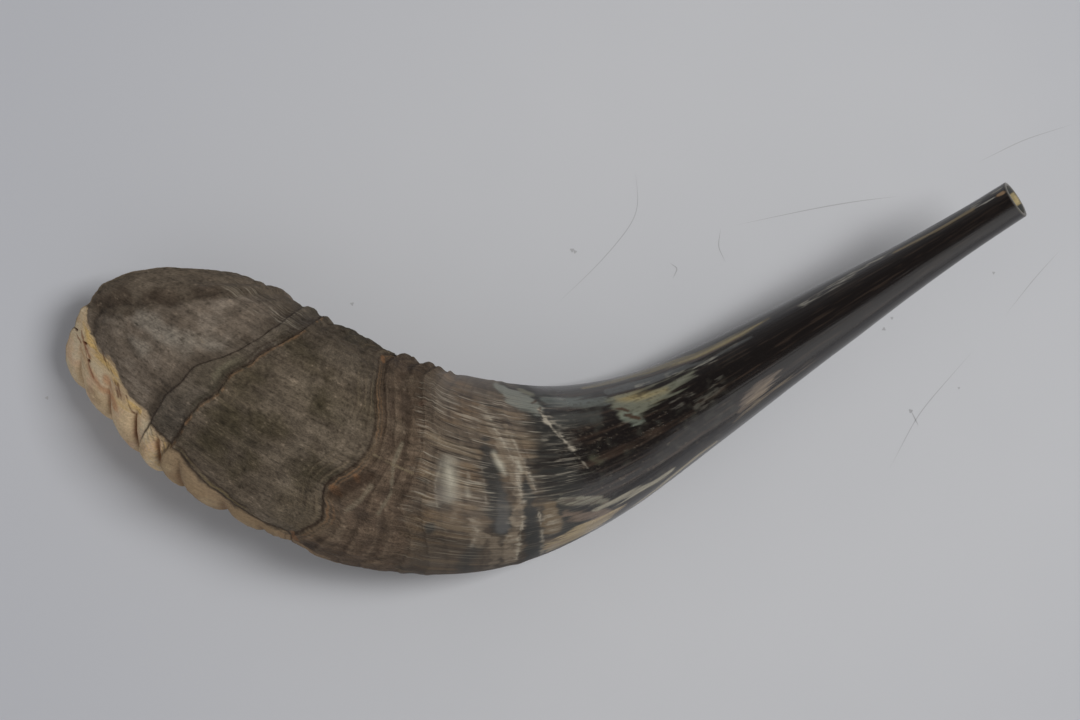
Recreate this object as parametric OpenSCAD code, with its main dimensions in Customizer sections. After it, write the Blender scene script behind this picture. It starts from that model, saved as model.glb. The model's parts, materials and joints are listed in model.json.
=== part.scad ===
// Shofar: a large natural ram's horn, played through a drilled and polished tip.
// Units are mm. The horn lies as it rests: +Z up, +X towards the mouth, and the
// origin at the centre of the bounding box's base.
//
// The horn is one growth of keratin. It is modelled as its growth sheaths, which
// nest like stacked cups: each older sheath (nearer the mouth) laps over the next
// younger one, and the edge of the older one is the growth line on the surface.
// A station g is a distance along the centreline from the mouth, and an angle a
// goes round the section: 0 keel, 90 crown, 180 inside of the curve, 270 belly.

/* [Path] */
// Length along the centreline from mouth to bell rim
horn_length = 360; // [300:1:420]
// Length of the straight polished tip
straight_length = 112; // [90:1:120]
// Plan heading of the straight tip, from mouth towards bell (degrees from +X)
heading_tip = 213; // [205:0.5:220]
// Upward slope of the tip, seen from the bell (degrees)
tip_rise = 17; // [5:0.5:25]
// How far the bell turns down towards the table at the rim (degrees)
bell_dip = 32; // [0:1:50]
// How steeply the underside arches up over the belly (degrees)
belly_arch = 10.5; // [0:0.5:16]
// Turn about X and about Y that settle the horn on its belly and rim (degrees)
settle = [0.8, -0.4]; // [-5:0.1:5]

/* [Section] */
// Outside diameter of the mouth
mouth_diameter = 14.2; // [12:0.1:18]
// Width of the horn at the end of the straight tip
tip_end_diameter = 30; // [24:0.1:34]
// Widest width of the horn, across the belly
belly_width = 80; // [65:0.5:90]
// Width across the bell rim
rim_width = 70; // [60:0.5:85]
// Depth of the section as a share of its width, at the bell
bell_flatness = 0.79; // [0.7:0.01:1]
// How much narrower the keel side is than the inner side
keel_taper = 0.2; // [0:0.01:0.3]
// How much flatter the underside is than the crown
belly_flat = 0.08; // [0:0.01:0.2]

/* [Mouth and bore] */
// Diameter of the drilled bore
bore_diameter = 8.4; // [6:0.1:10]
// Diameter of the cup at the mouth face
cup_diameter = 11.6; // [10:0.1:13]
// Depth of the cup, where it narrows to the bore
cup_depth = 11; // [6:0.5:16]
// Rounding of the mouth rim
rim_round = 0.25; // [0.1:0.05:0.6]

/* [Wall] */
// Wall where the natural hollow meets the drilled bore
wall_tip = 7.8; // [6:0.1:9]
// Wall in the middle of the bend
wall_bend = 5.6; // [4:0.1:7]
// Wall at the bell rim
wall_rim = 3.2; // [2.5:0.1:5]

/* [Growth lines] */
// Stations of the six growth lines towards the bell
line_2 = 194.5; // [180:0.5:200]
line_3 = 212.5; // [203:0.5:218]
line_4 = 239; // [228:0.5:246]
line_5 = 274.5; // [260:0.5:280]
line_6 = 313.5; // [300:0.5:314]
line_7 = 320.5; // [316:0.5:326]
// Lead of the keel side over the inner side, at the rim
keel_lead = 12.5; // [0:0.5:24]
// Lead of the crown side over the underside, at the rim
crown_lead = 10; // [0:0.5:14]
// How far the rim is worn back between crown and inner side
rim_wear = 5; // [0:0.5:8]

/* [Relief] */
// Height of the growth ripples on the inner side of the curve
ripple_height = 0.55; // [0:0.05:1]
// Distance between growth ripples
ripple_pitch = 8.2; // [6:0.1:14]
// Height of the raised keel at the rim
keel_height = 1.4; // [0:0.1:4]
// Height of the knuckles where growth lines cross the keel
knuckle_height = 1.6; // [0:0.1:3]

/* [Hidden] */
$fn = 96;

NA = 40;                         // facets round the lofted sheaths
k = horn_length / 360;           // stations below are stated for a 360 mm horn
straight = straight_length;
span = horn_length - straight;

// Laws along the horn: [station, value]. They are joined by smooth curves.
heading_law = [[straight, heading_tip], [140 * k, heading_tip - 2.1], [175 * k, heading_tip - 10.5],
               [210 * k, heading_tip - 24.5], [245 * k, heading_tip - 41.3], [280 * k, heading_tip - 58.2],
               [320 * k, heading_tip - 63.5], [360 * k, heading_tip - 77]];
slope_law = [[straight, -tip_rise], [140 * k, -tip_rise * 0.42], [165 * k, 5.5], [190 * k, belly_arch + 1],
             [220 * k, belly_arch], [250 * k, belly_arch - 3.5], [280 * k, 1],
             [310 * k, -bell_dip / 4], [335 * k, -bell_dip * 0.6], [360 * k, -bell_dip]];
width_law = [[0, mouth_diameter], [18, mouth_diameter + 0.7], [43, mouth_diameter + 3.4],
             [79, mouth_diameter + 9.7], [straight, tip_end_diameter], [150 * k, 38.8],
             [185 * k, 53.2], [220 * k, belly_width - 10.7], [255 * k, belly_width - 2.1],
             [290 * k, belly_width - 0.2], [325 * k, belly_width - 2.8], [360 * k, rim_width]];
depth_law = [[straight, 1], [220 * k, 0.89], [290 * k, 0.84], [360 * k, bell_flatness]];
wall_law = [[82, wall_tip], [straight, wall_tip - 0.3], [150 * k, wall_bend + 0.9],
            [210 * k, wall_bend - 0.2], [290 * k, 4.6], [330 * k, 4], [360 * k, wall_rim]];

function slope_at(t, i, flat) =
    i == 0 ? (flat ? 0 : (t[1][1] - t[0][1]) / (t[1][0] - t[0][0])) :
    i == len(t) - 1 ? (t[i][1] - t[i - 1][1]) / (t[i][0] - t[i - 1][0]) :
    (t[i + 1][1] - t[i - 1][1]) / (t[i + 1][0] - t[i - 1][0]);
function key(t, x, i = 0) = i >= len(t) - 2 || x < t[i + 1][0] ? i : key(t, x, i + 1);
function cubic(y0, y1, d0, d1, f) = y0 * (2 * f * f * f - 3 * f * f + 1) + y1 * (3 * f * f - 2 * f * f * f)
    + d0 * (f * f * f - 2 * f * f + f) + d1 * (f * f * f - f * f);
function law(t, x, flat = true) =
    x <= t[0][0] ? t[0][1] :
    x >= t[len(t) - 1][0] ? t[len(t) - 1][1] + slope_at(t, len(t) - 1, flat) * (x - t[len(t) - 1][0]) :
    let (i = key(t, x), h = t[i + 1][0] - t[i][0], f = (x - t[i][0]) / h)
    cubic(t[i][1], t[i + 1][1], h * slope_at(t, i, flat), h * slope_at(t, i + 1, flat), f);

function aim(s) = let (y = law(heading_law, s), p = law(slope_law, s))
    [cos(y) * cos(p), sin(y) * cos(p), sin(p)];
function unit(v) = v / norm(v);
function crown(s) = let (d = aim(s)) unit([0, 0, 1] - d * d[2]);
function keel(s) = cross(crown(s), aim(s));

// Centreline as a table at 1 mm steps, from the mouth to past the rim.
path = [for (i = 0, p = [0, 0, 0]; i <= horn_length + 40; p = p + aim(i + 0.5), i = i + 1) p];
function centre(s) = let (x = max(0, min(s, len(path) - 1.001)), i = floor(x), f = x - i)
    path[i] * (1 - f) + path[i + 1] * f;

function wall(g) = g < 82 ? wall_tip : law(wall_law, g, false);
function bump(x, at, w) = exp(-pow((x - at) / w, 2));
function ramp(x, a, b) = let (f = max(0, min(1, (x - a) / (b - a)))) f * f * (3 - 2 * f);
function turn(a) = a > 180 ? a - 360 : a;

// Where ring g meets the surface at angle a: growth rings lean over the horn.
function station(g, a) = g <= straight ? g : let (q = (g - straight) / span)
    g + keel_lead * pow(q, 2.6) * cos(a) + crown_lead * pow(q, 1.5) * sin(a)
    - rim_wear * pow(q, 6) * bump(a, 148, 30);

// Growth relief, outwards: ripples, the raised keel and its knuckles.
function relief(g, a) = g <= straight ? 0 :
    ripple_height * ramp(g, 225, 262) * (0.35 + 0.65 * ramp(abs(turn(a)), 90, 165))
      * sin(360 * g / ripple_pitch)
    + keel_height * ramp(g, 285, 350) * bump(turn(a), 6, 20)
    + knuckle_height * bump(turn(a), 10, 17)
      * (bump(g, 308, 5) + bump(g, 328, 6) + 0.8 * bump(g, 345, 5) + 0.6 * bump(g, 266, 6));

function local(s, a) = let (w = law(width_law, s, false) / 2, d = w * law(depth_law, s),
                            e = keel_taper * max(0, min(1, (s - 120) / 200)),
                            b = a > 180 ? 1 - belly_flat * ramp(s, 115, 220) : 1)
    [w * cos(a), b * d * sin(a) * (1 - e * cos(a))];
// A point under the skin: station, angle and depth along the section's normal.
function raw(g, a, depth) = let (s = station(g, a), q = local(s, a), n = [cos(a), sin(a)],
                                 r = q + n * (relief(g, a) - depth))
    settled(centre(s) + keel(s) * r[0] + crown(s) * r[1]);
function settled(p) = let (c = cos(settle[0]), d = sin(settle[0]), e = cos(settle[1]), f = sin(settle[1]),
                           y = p[1] * c - p[2] * d, z = p[1] * d + p[2] * c)
    [p[0] * e + z * f, y, z * e - p[0] * f];

// Growth lines: [station, lap length, step down to the younger sheath].
lines = [[straight, 30, 0], [line_2, 26, 0.1], [line_3, 22, 0.15], [line_4, 20, 0.2],
         [line_5, 16, 1.1], [line_6, 12, 0.7], [line_7, 10, 0.9], [horn_length, 0, 0]];
function wander(i, a) =
    i == 4 ? -6 * bump(a, 108, 22) - 3 * bump(a, 50, 14) + 2.5 * bump(a, 72, 14) :
    i == 5 ? -4 * bump(a, 62, 26) + 2 * bump(a, 120, 24) :
    i == 6 ? 2.2 * bump(a, 84, 28) - 1.2 * bump(a, 140, 24) :
    i == 3 ? 2 * bump(a, 95, 30) : 0;
function edge(i, a) = lines[i][0] + wander(i, a);
angles = [for (j = [0:NA - 1]) j * 360 / NA];

// Rings of the lap face under growth line i, from the outer skin to the hollow.
function lap_end(i, a) = edge(i, a) - lines[i][1];
function lap(i, from_step) = let (st = lines[i][2], lip = st + 0.8)
    [for (f = [0, 1, 2, 3, 4])
        [for (a = angles) let (g1 = lap_end(i, a), w1 = wall(g1),
                               u = f == 1 ? 0 : f == 2 ? 0.5 : 1, g = edge(i, a) * (1 - u) + g1 * u)
            f == 0 ? raw(edge(i, a), a, from_step ? st : 0) :
            f == 4 ? raw(g1, a, w1) : raw(g, a, lip * (1 - u) + (w1 - 0.9) * u)]];
// Outer skin between growth lines i and i + 1; it starts down the step and rises.
function skin(i, n) = [for (m = [1:n - 1]) [for (a = angles)
    let (f = m / n, g = edge(i, a) * (1 - f) + edge(i + 1, a) * f, from = g - edge(i, a))
    raw(g, a, lines[i][2] * (1 - ramp(from, 0, 9)))]];
// Wall of the hollow between the laps of growth lines i + 1 and i.
function hollow(i, n, last) = [for (m = [1:n - 1]) [for (a = angles)
    let (f = m / n, far = last ? horn_length - 1.1 : lap_end(i + 1, a),
         g = far * (1 - f) + lap_end(i, a) * f) raw(g, a, wall(g))]];
function rim() = [for (m = [[1.1, 0], [0, 0.9], [0, wall_rim - 0.9], [1.1, wall_rim]])
    [for (a = angles) raw(horn_length - m[0], a, m[1])]];

function reversed(l) = [for (j = [len(l) - 1:-1:0]) l[j]];
// Closes a ring of rings into one solid. The first lap is split along the same
// diagonals as the neighbour's last one, so that the two faces are identical.
module loft(rings) {
    n = len(rings);
    polyhedron(
        points = [for (r = rings) for (p = r) p],
        faces = [for (i = [0:n - 1]) for (j = [0:NA - 1])
            let (i2 = (i + 1) % n, j2 = (j + 1) % NA,
                 p = i * NA + j, q = i * NA + j2, r = i2 * NA + j, t = i2 * NA + j2)
            for (f = i < 4 ? [[p, r, q], [r, t, q]] : [[p, t, q], [p, r, t]]) f],
        convexity = 8);
}
module sheath(i, outer, inner) {
    last = i == len(lines) - 2;
    loft(concat(reversed(lap(i, true)), skin(i, outer), last ? rim() : lap(i + 1, false),
                hollow(i, inner, last)));
}

// The horn's own box, so that it stands on z = 0 with its base centred.
shell = concat([for (g = [straight:2:horn_length - 2]) for (a = angles) raw(g, a, 0)],
               [for (r = rim()) for (p = r) p]);
mouth_ring = [for (a = [0:3:357]) raw(0, a, rim_round)];
function low(j) = min(min([for (p = shell) p[j]]), min([for (p = mouth_ring) p[j]]));
function high(j) = max(max([for (p = shell) p[j]]), max([for (p = mouth_ring) p[j]]));
shift = -[(low(0) + high(0)) / 2, (low(1) + high(1)) / 2, low(2)];

module mouth_tip() color([0.09, 0.07, 0.07]) {
    r = [for (g = [rim_round, 4, 9, 14, 20, 27, 35, 43, 52, 61, 70, 79, 88, 96, 104, straight])
            [law(width_law, g, false) / 2, g]];
    w1 = wall(82);
    end_r = law(width_law, straight, false) / 2;
    translate(shift) rotate([settle[0], settle[1], 0]) rotate([0, 90 + tip_rise, heading_tip])
        rotate_extrude()
            polygon(concat(
                [[mouth_diameter / 2 - rim_round, 0]], r,
                [[end_r - 0.8, straight],
                 [law(width_law, straight - 15, false) / 2 - (0.8 + w1 - 0.9) / 2, straight - 15],
                 [law(width_law, 82, false) / 2 - w1 + 0.9, 82],
                 [bore_diameter / 2, 82], [bore_diameter / 2, cup_depth],
                 [cup_diameter / 2, rim_round], [cup_diameter / 2 + rim_round, 0]]));
}
module stem_sheath() color([0.13, 0.1, 0.09]) translate(shift) sheath(0, 10, 8);
module upper_bend_sheath() color([0.23, 0.2, 0.18]) translate(shift) sheath(1, 4, 3);
module lower_bend_sheath() color([0.3, 0.25, 0.21]) translate(shift) sheath(2, 6, 4);
module belly_sheath() color([0.34, 0.28, 0.23]) translate(shift) sheath(3, 10, 5);
module flank_sheath() color([0.36, 0.32, 0.28]) translate(shift) sheath(4, 15, 6);
module knuckle_band() color([0.42, 0.36, 0.28]) translate(shift) sheath(5, 3, 2);
module bell_sheath() color([0.38, 0.34, 0.3]) translate(shift) sheath(6, 15, 7);

mouth_tip();
stem_sheath();
upper_bend_sheath();
lower_bend_sheath();
belly_sheath();
flank_sheath();
knuckle_band();
bell_sheath();
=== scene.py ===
"""A ram's horn shofar lying on a pale table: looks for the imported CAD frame."""
import json
import math

import bpy
import numpy as np
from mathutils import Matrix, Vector
from mathutils.bvhtree import BVHTree


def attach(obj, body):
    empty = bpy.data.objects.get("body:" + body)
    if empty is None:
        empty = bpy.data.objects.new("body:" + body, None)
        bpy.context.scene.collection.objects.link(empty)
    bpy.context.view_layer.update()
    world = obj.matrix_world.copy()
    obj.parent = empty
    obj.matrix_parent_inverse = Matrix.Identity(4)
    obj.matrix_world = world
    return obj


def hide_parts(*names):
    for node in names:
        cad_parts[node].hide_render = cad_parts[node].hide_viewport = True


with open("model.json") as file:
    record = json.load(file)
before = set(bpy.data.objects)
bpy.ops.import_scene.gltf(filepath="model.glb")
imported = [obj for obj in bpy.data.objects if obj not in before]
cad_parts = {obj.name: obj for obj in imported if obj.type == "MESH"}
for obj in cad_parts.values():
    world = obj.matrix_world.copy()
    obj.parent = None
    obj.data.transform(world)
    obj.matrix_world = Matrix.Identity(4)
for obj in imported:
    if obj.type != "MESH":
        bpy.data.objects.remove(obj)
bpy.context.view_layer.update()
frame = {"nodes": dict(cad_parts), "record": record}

ORDER = ["mouth_tip", "stem_sheath", "upper_bend_sheath", "lower_bend_sheath",
         "belly_sheath", "flank_sheath", "knuckle_band", "bell_sheath"]


# ---------------------------------------------------------------- reading the frame
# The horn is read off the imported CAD: a centreline is walked from the mouth bore, and at
# each station rays from outside give the skin and rays from the middle give the hollow.
def frame_mesh():
    points, faces, owner, base = [], [], [], 0
    for i, name in enumerate(ORDER):
        me = frame["nodes"][name].data
        co = np.empty(len(me.vertices) * 3)
        me.vertices.foreach_get("co", co)
        me.calc_loop_triangles()
        tri = np.empty(len(me.loop_triangles) * 3, int)
        me.loop_triangles.foreach_get("vertices", tri)
        points.append(co.reshape(-1, 3) * 1000)
        faces.append(tri.reshape(-1, 3) + base)
        owner += [i] * len(me.loop_triangles)
        base += len(me.vertices)
    return np.vstack(points), np.vstack(faces), np.array(owner)


cad_points, cad_faces, cad_owner = frame_mesh()
tree = BVHTree.FromPolygons([tuple(p) for p in cad_points], [tuple(int(x) for x in f) for f in cad_faces])
bore = next(m for m in frame["record"]["mounts"] if m["name"] == "mouth_bore")
out_of_mouth = np.array(bore["axis"]) / np.linalg.norm(bore["axis"])
bore_point = np.array(bore["pos_m"]) * 1000
tip_points = cad_points[np.unique(cad_faces[cad_owner == 0])]
mouth = bore_point + out_of_mouth * ((tip_points @ out_of_mouth).max() - bore_point @ out_of_mouth)

REACH = 62.0             # mm, more than the widest half of the bell
NRAY = 96                # rays round each section
WALK_STEP = 2.0          # mm between sections while the centreline is being found
TAIL_STEPS = 26          # steps the line runs on past the bell rim
SKIN_WAVES, EDGE_WAVES, STRAY_WAVES = 6, 10, 18
ray_angle = np.arange(NRAY) * 2 * math.pi / NRAY


def unit(v):
    return v / np.linalg.norm(v, axis=-1, keepdims=True)


def section_axes(d):
    up = np.zeros_like(d)
    up[..., 2] = 1
    v = unit(up - d * d[..., 2:3])
    return np.cross(v, d), v


def ring(c, d, step=1, inside=False):
    """Radius and owning node along every step-th ray of the section at c, square to d."""
    u, v = section_axes(d)
    r = np.full(NRAY, np.nan)
    who = np.full(NRAY, -1)
    for j in range(0, NRAY, step):
        w = u * math.cos(ray_angle[j]) + v * math.sin(ray_angle[j])
        if inside:
            hit = tree.ray_cast(Vector(c), Vector(w), REACH)
        else:
            hit = tree.ray_cast(Vector(c + w * REACH), Vector(-w), REACH)
        if hit[0] is not None:
            r[j] = hit[3] if inside else REACH - hit[3]
            who[j] = cad_owner[hit[2]]
    return r, who


def section_middle(c, d, r, step):
    """Centre of area of a section."""
    u, v = section_axes(d)
    a = ray_angle[::step]
    q = np.stack([r[::step] * np.cos(a), r[::step] * np.sin(a)], -1)
    n = np.roll(q, -1, 0)
    cr = q[:, 0] * n[:, 1] - n[:, 0] * q[:, 1]
    m = ((q + n) * cr[:, None]).sum(0) / (3 * cr.sum())
    return c + u * m[0] + v * m[1]


def soften(table, sigma, step=1.0):
    """Low-pass along axis 0 that keeps straight runs straight up to both ends."""
    n = int(3 * sigma / step)
    w = np.exp(-0.5 * (np.arange(-n, n + 1) * step / sigma) ** 2)
    w /= w.sum()
    head = 2 * table[0] - table[n:0:-1]
    tail = 2 * table[-1] - table[-2:-n - 2:-1]
    full = np.concatenate([head, table, tail])
    return sum(w[i] * full[i:i + len(table)] for i in range(2 * n + 1))


def walk():
    """The centreline from the mouth to past the rim, section by section."""
    c, d = mouth - out_of_mouth, -out_of_mouth
    line = [mouth, c]
    while len(line) < 400:
        c = c + d * WALK_STEP
        r, _ = ring(c, d, 4)
        if np.isnan(r[::4]).any():
            break
        c = section_middle(c, d, r, 4)
        line.append(c)
        d = unit(c - line[max(0, len(line) - 6)])
    line = np.array(line)
    turn = unit(line[-1] - line[-6]) - unit(line[-11] - line[-16])
    d = unit(line[-1] - line[-6])
    tail = []
    for _ in range(TAIL_STEPS):
        d = unit(d + turn / 10)
        c = (tail[-1] if tail else line[-1]) + d * WALK_STEP
        tail.append(c)
    return np.vstack([line, tail])


def resample(line, step=1.0):
    t = np.concatenate([[0], np.cumsum(np.linalg.norm(np.diff(line, axis=0), axis=1))])
    s = np.arange(0, t[-1], step)
    return np.stack([np.interp(s, t, line[:, i]) for i in range(3)], -1)


axis_line = soften(resample(walk()), 5)
for _ in range(2):
    aims = unit(np.gradient(axis_line, axis=0))
    moved = axis_line.copy()
    for i in range(2, len(axis_line)):
        r, _ = ring(axis_line[i], aims[i], 4)
        if np.isnan(r[::4]).any():
            break
        moved[i] = section_middle(axis_line[i], aims[i], r, 4)
        last = i
    moved[last + 1:] += moved[last] - axis_line[last]
    moved[0] = mouth
    moved[1] = mouth - out_of_mouth
    axis_line = soften(resample(moved), 5)
    axis_line += (mouth - axis_line[0]) * np.exp(-np.arange(len(axis_line)) / 15)[:, None]

aims = unit(np.gradient(axis_line, axis=0))
keel_way, crown_way = section_axes(aims)
N_S = len(axis_line)
skin = np.full((N_S, NRAY), np.nan)
hollow = np.full((N_S, NRAY), np.nan)
owner = np.full((N_S, NRAY), -1)
for i in range(N_S):
    at = axis_line[i] if i else axis_line[0] + aims[0] * 0.4
    skin[i], owner[i] = ring(at, aims[i])
    hollow[i], _ = ring(at, aims[i], inside=True)


def fill_past_rim(table):
    """Carries each line past the bell rim on its last slope, so that it can be smoothed."""
    out = table.copy()
    for j in range(out.shape[1]):
        good = np.flatnonzero(np.isfinite(out[:, j]))
        last = good[-1] - 2
        slope = (out[last, j] - out[last - 10, j]) / 10
        first = good[0]
        out[:first, j] = out[first, j]
        out[last:, j] = out[last, j] + slope * np.arange(len(out) - last)
    return out


def few_waves(table, order):
    """Keeps only the slow changes round the section."""
    f = np.fft.rfft(table, axis=-1)
    f[..., order + 1:] = 0
    return np.fft.irfft(f, n=table.shape[-1], axis=-1)


outer = soften(few_waves(fill_past_rim(skin), SKIN_WAVES), 3.5)
inner = soften(few_waves(fill_past_rim(hollow), SKIN_WAVES), 3.0)
rim_at = np.array([np.flatnonzero(owner[:, j] >= 0)[-1] + 0.5 for j in range(NRAY)])
edges = []           # growth line i as a station for each angle
for i in range(7):
    line = np.array([((owner[:, j] >= 0) & (owner[:, j] <= i)).sum() - 0.5 for j in range(NRAY)])
    edges.append(few_waves(line, EDGE_WAVES))
edges.append(few_waves(rim_at, SKIN_WAVES))
edges = np.array(edges)


# ---------------------------------------------------------------- the fine surface
# Rows follow the growth lines and columns go round the section: 0 degrees is the keel,
# 90 the crown, 180 the inner curve and -90 the underside. Lengths are in mm, and a station
# is the distance from the mouth along the centreline: the stem runs to about 195, the bend
# to 241, the belly to 271, the flank to 312, the knuckle band to 321 and the bell to 361,
# or 378 at the crown.
COLUMNS = 480
turn = np.arange(COLUMNS) * 2 * math.pi / COLUMNS
degrees_round = (np.degrees(turn) + 180) % 360 - 180
GROWTH_LINES = ["stem_start", "bend_start", "upper_ring", "lower_ring",
                "torn_edge", "orange_edge", "dark_edge", "rim"]
# How far each growth line strays from the CAD's plain one: (degrees, mm towards the bell).
STRAY = {
    "bend_start": [(-60, 0), (40, -3), (76, -5), (115, 3), (132, 7), (165, 2)],
    "upper_ring": [(-60, 0), (30, 1), (71, -4), (101, 0), (134, 6), (165, 2)],
    "lower_ring": [(-60, 0), (30, 0), (98, 1.5), (122, 7), (150, 12), (175, 3)],
    "torn_edge": [(-70, -1), (13, -0.6), (40, -4.6), (58, -7), (70, -7.9), (83, -6.6),
                  (98, -4.6), (126, -0.5), (143, 2.3), (159, 6), (178, 2)],
    "orange_edge": [(-70, 1), (7, 7), (33, 4.7), (52, 4.6), (66, 2.2), (80, -1.6), (86, -2.8), (94, -2.2),
                    (106, -5.2), (121, -6.6), (135, -6.8), (156, -4.3), (178, -1)],
    "dark_edge": [(-70, 0), (12, 6.5), (22, 3.7), (34, 1.4), (57, -0.6), (76, -3.2), (87, -1.6),
                  (98, -4.4), (107, -6.2), (128, -4.2), (144, -3.2), (178, 1)],
    "rim": [(-60, 0), (86, 0), (102, 1.8), (116, 3.3), (138, 2.8), (160, 0.6), (178, 0)],
}
ROW_PITCH = {"mouth_tip": 1.0, "stem_sheath": 0.6}       # mm between rows where it isn't FINE_PITCH
FINE_PITCH = 0.4
INNER_PITCH = 1.6
LIP_DEPTH = 0.7                                          # how far the rounded ends reach past the walls
RIM_DEPTH = 1.5


def finer(table):
    return np.fft.irfft(np.fft.rfft(table, axis=-1), n=COLUMNS, axis=-1) * COLUMNS / NRAY


def ramp(x, a, b):
    t = np.clip((x - a) / (b - a), 0, 1)
    return t * t * (3 - 2 * t)


def hump(x, width):
    return np.exp(-(x / width) ** 2)


def stray(name):
    at, mm = zip(*STRAY[name])
    return few_waves(np.interp(degrees_round, at, mm, period=360), STRAY_WAVES)


def at_station(table, s):
    """Smooth look-up along the horn: a Catmull-Rom curve through the 1 mm stations."""
    i = np.clip(np.floor(s).astype(int), 0, N_S - 2)
    f = s - i
    vector = table.shape[1] == 3
    if vector:
        f = f[..., None]

    def row(k):
        k = np.clip(k, 0, N_S - 1)
        return table[k] if vector else table[k, np.arange(COLUMNS)]

    a, b, c, d = row(i - 1), row(i), row(i + 1), row(i + 2)
    return b + 0.5 * f * (c - a + f * (2 * a - 5 * b + 4 * c - d + f * (3 * (b - c) + d - a)))


outer_radius = finer(outer)
inner_radius = finer(inner)
line_at = {n: few_waves(finer(edges[i]), EDGE_WAVES) for i, n in enumerate(GROWTH_LINES)}
for line_name in STRAY:
    line_at[line_name] = line_at[line_name] + stray(line_name)
rim_wear = 0.5 * np.sin(5 * turn + 1) + 0.4 * np.sin(11 * turn) + 0.3 * np.sin(23 * turn + 2)
line_at["rim"] = line_at["rim"] + rim_wear - 0.6


def lay_rows(pitch_of, start, end_short):
    """Stations of every row, the growth of each row, and where each piece starts and ends."""
    rows, growth, span, last = [], [], {}, start
    last_growth = start.mean()
    for name, line in zip(ORDER, GROWTH_LINES):
        end = line_at[line] - (end_short if line == "rim" else 0)
        n = int(round((end - last).mean() / pitch_of(name)))
        t = np.linspace(0, 1, n + 1)
        t = t - 0.06 * np.sin(2 * math.pi * t)
        first = len(rows) - 1 if rows else 0
        for f in (t[1:] if rows else t):
            rows.append(last + f * (end - last))
            growth.append(last_growth + f * (end.mean() - last_growth))
        span[name] = (first, len(rows) - 1)
        last, last_growth = end, end.mean()
    return np.array(rows), np.repeat(np.array(growth)[:, None], COLUMNS, 1), span


def place(s, r):
    """Points at stations s and radii r, one column for each angle."""
    u = unit(at_station(keel_way, s))
    v = unit(at_station(crown_way, s))
    w = u * np.cos(turn)[:, None] + v * np.sin(turn)[:, None]
    return at_station(axis_line, s) + w * r[..., None]


def grid_normals(p):
    along = np.gradient(p, axis=0)
    around = np.roll(p, -1, 1) - np.roll(p, 1, 1)
    return unit(np.cross(around, along))


# ---------------------------------------------------------------- noise
def lattice(p, seed):
    """Value noise from -1 to 1 on a unit lattice, hashed so that a seed always gives the same."""
    cell = np.floor(p)
    f = (p - cell).astype(np.float32)
    f = f * f * f * (f * (f * 6 - 15) + 10)
    cell = cell.astype(np.int64).astype(np.uint32)
    primes = np.array([73856093, 19349663, 83492791], np.uint32)
    near_hash = cell * primes
    hashes = (near_hash, near_hash + primes)
    total = np.zeros(p.shape[:-1], np.float32)
    for x in (0, 1):
        for y in (0, 1):
            for z in (0, 1):
                h = hashes[x][..., 0] ^ hashes[y][..., 1] ^ hashes[z][..., 2] ^ np.uint32(seed * 951274 + 77)
                h = (h ^ (h >> np.uint32(13))) * np.uint32(1274126177)
                h = (h ^ (h >> np.uint32(15))) & np.uint32(0xFFFF)
                weight = (f[..., 0] if x else 1 - f[..., 0]) * (f[..., 1] if y else 1 - f[..., 1])
                weight = weight * (f[..., 2] if z else 1 - f[..., 2])
                total += (h.astype(np.float32) / 32767.5 - 1) * weight
    return total


def noise(p, size, seed, octaves=1):
    """Seamless noise from about -1 to 1. size is (along, around) in mm."""
    q = p / np.array([size[0], size[1], size[1]])
    total, weight = 0, 0
    for o in range(octaves):
        total = total + lattice(q * 2 ** o + 7.3 * o, seed + o) / 2 ** o
        weight += 1 / 2 ** o
    return 1.5 * total / weight


# ---------------------------------------------------------------- where things are
row_s, row_g, span = lay_rows(lambda n: ROW_PITCH.get(n, FINE_PITCH), np.full(COLUMNS, LIP_DEPTH), RIM_DEPTH)
mean_radius = np.repeat(outer_radius.mean(1, keepdims=True), COLUMNS, 1)
rho = at_station(mean_radius, row_s)
around_y = rho * np.cos(turn)
around_z = rho * np.sin(turn)
spot = np.stack([row_s, around_y, around_z], -1)                        # straightened horn
grown = np.stack([row_g, around_y, around_z], -1)
THREAD_RADIUS = 24.0


def threads_at(s):
    """A place among the fibres: they keep their angle whatever the girth, but wind round the bend."""
    bend = np.clip(s - 190, 0, 60)
    wound = turn - np.radians(0.3 * bend + 0.0012 * bend ** 2)
    return np.stack([s, THREAD_RADIUS * np.cos(wound), THREAD_RADIUS * np.sin(wound)], -1)


threads = threads_at(row_s)
angle = np.repeat(degrees_round[None], len(row_s), 0)
past = {n: row_s - line_at[n] for n in GROWTH_LINES}                    # mm past each line

# The keel: a pale worn ridge, narrow at the belly and broad at the bell.
KEEL_EDGE = [(240, 2), (277, 11), (290, 14), (300, 17), (312, 22), (322, 27), (328, 30), (334, 34), (338, 38),
             (346, 40), (352, 46), (355, 52), (358, 57), (371, 59), (374, 68), (377, 79), (384, 84)]
KNUCKLES = [276, 289, 302, 317, 328, 339, 353, 371, 384]
SHEATH_CLEFTS = (328, 339)
KNUCKLE_HEIGHT = [1.1, 1.7, 2.0, 2.1, 2.4, 2.6, 2.8, 2.0]
keel_half = np.interp(row_s, *zip(*KEEL_EDGE))
wiggle = noise(spot, (4, 3), 11, 3) + 1.5 * noise(spot, (11, 8), 14, 2)
keel_in_top = (keel_half - angle) * rho * math.pi / 180 + wiggle * 0.9
keel_in_under = (keel_half * 0.75 + 6 + angle) * rho * math.pi / 180 + wiggle * 0.9
keel_in = np.minimum(keel_in_top, keel_in_under)                        # mm inside the pale ridge
keel = ramp(keel_in + 0.7 * noise(spot, (4, 0.9), 15, 3), -1.1, 1.1) * ramp(row_s + 4 * wiggle, 262, 274)


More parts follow.
